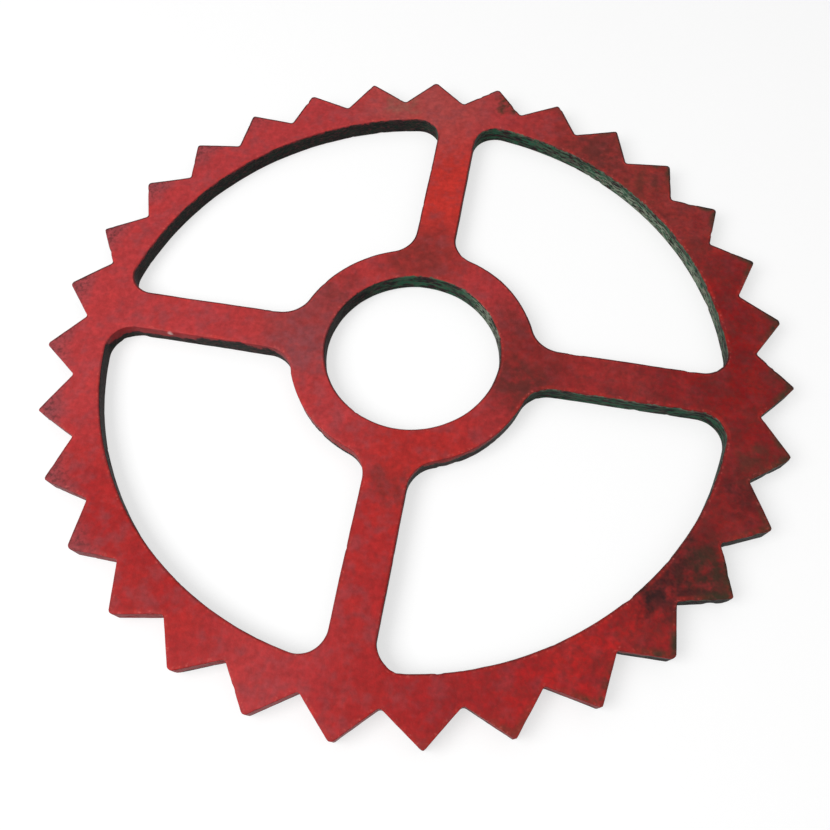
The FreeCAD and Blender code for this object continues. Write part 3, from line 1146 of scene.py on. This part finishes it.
def cast_skin_tree():
    inputs = {"Casting": (GEOMETRY, None), "Paint run": (VECTOR, None)}
    inputs |= {name: (NUMBER, value) for name, value in SKIN_SIZES.items()}
    inputs |= {"Face paint": (MATERIAL, None), "Wall paint": (MATERIAL, None)}
    tree, given, result = new_tree("cast_skin", "GeometryNodeTree", inputs, {"Casting": GEOMETRY})
    position = add(tree, "GeometryNodeInputPosition", {}).outputs[0]
    normal = add(tree, "GeometryNodeInputNormal", {}).outputs[0]

    def cloud(size, shift):
        seeded = sum_of(tree, "ADD", given["Seed"], shift)
        per_size = sum_of(tree, "DIVIDE", 1.0, size)
        inputs = {"Vector": position, "W": seeded, "Scale": per_size, "Detail": 2.0}
        return add(tree, "ShaderNodeTexNoise", inputs, noise_dimensions="4D").outputs[0]

    swell = smooth(tree, cloud(given["Swell size"], 0.0), 0.25, 0.75)
    grain = smooth(tree, cloud(given["Grain size"], 5.0), 0.25, 0.75)
    chipped = smooth(tree, cloud(given["Nick size"], 9.0), 0.58, 0.72)
    at_edge = smooth(tree, stored(tree, "from_edge"), given["Nick reach"], 0.0)
    nicks = times(tree, chipped, at_edge)

    depth = times(tree, swell, given["Swell depth"])
    depth = sum_of(tree, "MULTIPLY_ADD", grain, given["Grain depth"], depth)
    depth = sum_of(tree, "MULTIPLY_ADD", nicks, given["Nick depth"], depth)
    away = vector_sum(tree, "DISTANCE", position, given["Paint run"])
    run = smooth(tree, away, 0.0, given["Run radius"], 1.0, 0.0)
    height = times(tree, run, given["Run height"])
    move = scaled(tree, normal, sum_of(tree, "SUBTRACT", height, depth))

    moved = add(tree, "GeometryNodeSetPosition", {"Geometry": given["Casting"], "Offset": move})
    rounded = add(tree, "GeometryNodeSetShadeSmooth", {"Geometry": moved.outputs[0]})
    real = add(tree, "GeometryNodeRealizeInstances", {"Geometry": rounded.outputs[0]})
    upright = sum_of(tree, "GREATER_THAN", stored(tree, "turned"), 0.99)
    faced = add(
        tree,
        "GeometryNodeSetMaterial",
        {"Geometry": real.outputs[0], "Material": given["Face paint"]},
    )
    walled = add(
        tree,
        "GeometryNodeSetMaterial",
        {"Geometry": faced.outputs[0], "Selection": upright, "Material": given["Wall paint"]},
    )
    tree.links.new(walled.outputs[0], result["Casting"])
    return tree


cast_skin = cast_skin_tree()

# %% Run it on the casting
others = {"Paint run": RUN_PLACE, "Face paint": face_paint, "Wall paint": wall_paint}
skinned = run_tree(ring_casting, cast_skin, SKIN_SIZES | others)
ring_casting.data = skinned
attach(ring_casting, "root")
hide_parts("roller_ring")
print("cast skin:", [slot.name for slot in skinned.materials])
heights = [vertex.co.z for vertex in skinned.vertices]
print(f"heights from {1000 * min(heights):.2f} to {1000 * max(heights):.2f} mm")

# %% [markdown]
# ## Floor and backdrop
#
# The ring lies on a pale floor that bends up into a wall all round, so no horizon shows. The
# floor is a mid grey that lights the ring from below no more than a real floor would. What the
# camera and the gloss see of it is lifted to white, and the ring's own soft shadow stays on it.

# %% A round sweep of floor and wall
FLOOR_RADIUS = 1.6
COVE_RADIUS = 0.6
WALL_HEIGHT = 1.5
BELOW_RING = 0.05 * MM
SECTORS = 96


def sweep_profile():
    turns = np.linspace(0, math.pi / 2, 13)
    cove = [
        (FLOOR_RADIUS + COVE_RADIUS * math.sin(turn), COVE_RADIUS * (1 - math.cos(turn)))
        for turn in turns
    ]
    return cove + [(FLOOR_RADIUS + COVE_RADIUS, WALL_HEIGHT)]


def sweep_mesh():
    work = bmesh.new()
    centre = work.verts.new((0.0, 0.0, -BELOW_RING))
    rings = []
    for radius, height in sweep_profile():
        angles = [math.tau * i / SECTORS for i in range(SECTORS)]
        rings.append(
            [work.verts.new((*on_circle(radius, angle), height - BELOW_RING)) for angle in angles]
        )
    for i in range(SECTORS):
        work.faces.new((centre, rings[0][i], rings[0][(i + 1) % SECTORS]))
        for inner, outer in zip(rings, rings[1:]):
            after = (i + 1) % SECTORS
            work.faces.new((inner[i], outer[i], outer[after], inner[after]))
    mesh = bpy.data.meshes.new("studio_sweep")
    work.to_mesh(mesh)
    work.free()
    mesh.shade_smooth()
    return mesh


# %% A floor that looks white and is see-through from below
FLOOR_GREY = 0.42
LIFT_TO_WHITE = 0.63


def floor_material():
    material = bpy.data.materials.new("studio_floor")
    material.use_nodes = True
    tree = material.node_tree
    tree.nodes.clear()
    grey = add(tree, "ShaderNodeBsdfDiffuse", {"Color": (*[FLOOR_GREY] * 3, 1.0)})
    path = add(tree, "ShaderNodeLightPath", {}).outputs
    looked_at = sum_of(tree, "MAXIMUM", path["Is Camera Ray"], path["Is Glossy Ray"])
    looked_at = sum_of(tree, "MAXIMUM", looked_at, path["Is Transmission Ray"])
    lift = times(tree, looked_at, LIFT_TO_WHITE)
    glow = add(tree, "ShaderNodeEmission", {"Color": (1.0, 1.0, 1.0, 1.0), "Strength": lift})
    both = add(tree, "ShaderNodeAddShader", {0: grey.outputs[0], 1: glow.outputs[0]})
    clear_shader = add(tree, "ShaderNodeBsdfTransparent", {})
    below = add(tree, "ShaderNodeNewGeometry", {}).outputs["Backfacing"]
    mix = add(
        tree, "ShaderNodeMixShader", {0: below, 1: both.outputs[0], 2: clear_shader.outputs[0]}
    )
    add(tree, "ShaderNodeOutputMaterial", {"Surface": mix.outputs[0]})
    return material


studio_sweep = bpy.data.objects.new("studio_sweep", sweep_mesh())
studio_sweep.data.materials.append(floor_material())
bpy.context.collection.objects.link(studio_sweep)
print("studio sweep:", len(studio_sweep.data.polygons), "faces")

# %% [markdown]
# ## Light
#
# Flat paint shows best in broad, soft light. A white sky does most of the work and one large
# lamp on the left gives the edges a direction. Together they light an upward face at a plain
# level, so that each colour renders about as it is written.

# %% Sky and lamp
SKY_STRENGTH = 0.6
LAMP_PLACE = Vector((-0.9, -0.7, 1.35))
LAMP_WIDTH = 1.1
LAMP_WATTS = 20.0

world = bpy.data.worlds.new("white_sky")
world.use_nodes = True
bpy.context.scene.world = world
sky = world.node_tree.nodes["Background"]
sky.inputs["Color"].default_value = (1.0, 1.0, 1.0, 1.0)
sky.inputs["Strength"].default_value = SKY_STRENGTH

lamp_data = bpy.data.lights.new("left_window", "AREA")
lamp_data.shape = "SQUARE"
lamp_data.size = LAMP_WIDTH
lamp_data.energy = LAMP_WATTS
lamp = bpy.data.objects.new("left_window", lamp_data)
lamp.location = LAMP_PLACE
lamp.rotation_euler = (-LAMP_PLACE).to_track_quat("-Z", "Y").to_euler()
bpy.context.collection.objects.link(lamp)

# %% [markdown]
# ## Camera
#
# The camera looks down steeply from in front, a little to the right and slightly tilted. These
# numbers come from laying the ring's outlines over the photograph: where the optical axis meets
# the upper face, how far away the camera is, and how it is turned. The small shifts say that the
# picture was cropped.

# %% Place the camera
AIM = Vector((-2.6, -21.5, 16.0)) * MM
DISTANCE = 611.2 * MM
AZIMUTH = math.radians(13.58)
ELEVATION = math.radians(61.40)
ROLL = math.radians(-3.383)
SENSOR_WIDTH = 36.0
FOCAL_LENGTH = 37.722
CROP_SHIFT = (0.0143, -0.0490)

camera_data = bpy.data.cameras.new("camera")
camera_data.sensor_width = SENSOR_WIDTH
camera_data.lens = FOCAL_LENGTH
camera_data.shift_x, camera_data.shift_y = CROP_SHIFT
camera_data.clip_start = 0.01
camera = bpy.data.objects.new("camera", camera_data)
back = Vector(
    (
        math.sin(AZIMUTH) * math.cos(ELEVATION),
        -math.cos(AZIMUTH) * math.cos(ELEVATION),
        math.sin(ELEVATION),
    )
)
camera.location = AIM + back * DISTANCE
level = (-back).to_track_quat("-Z", "Y")
camera.rotation_euler = (level @ Quaternion((0.0, 0.0, 1.0), ROLL)).to_euler()
bpy.context.collection.objects.link(camera)
bpy.context.scene.camera = camera
bpy.context.scene.view_settings.view_transform = "Standard"
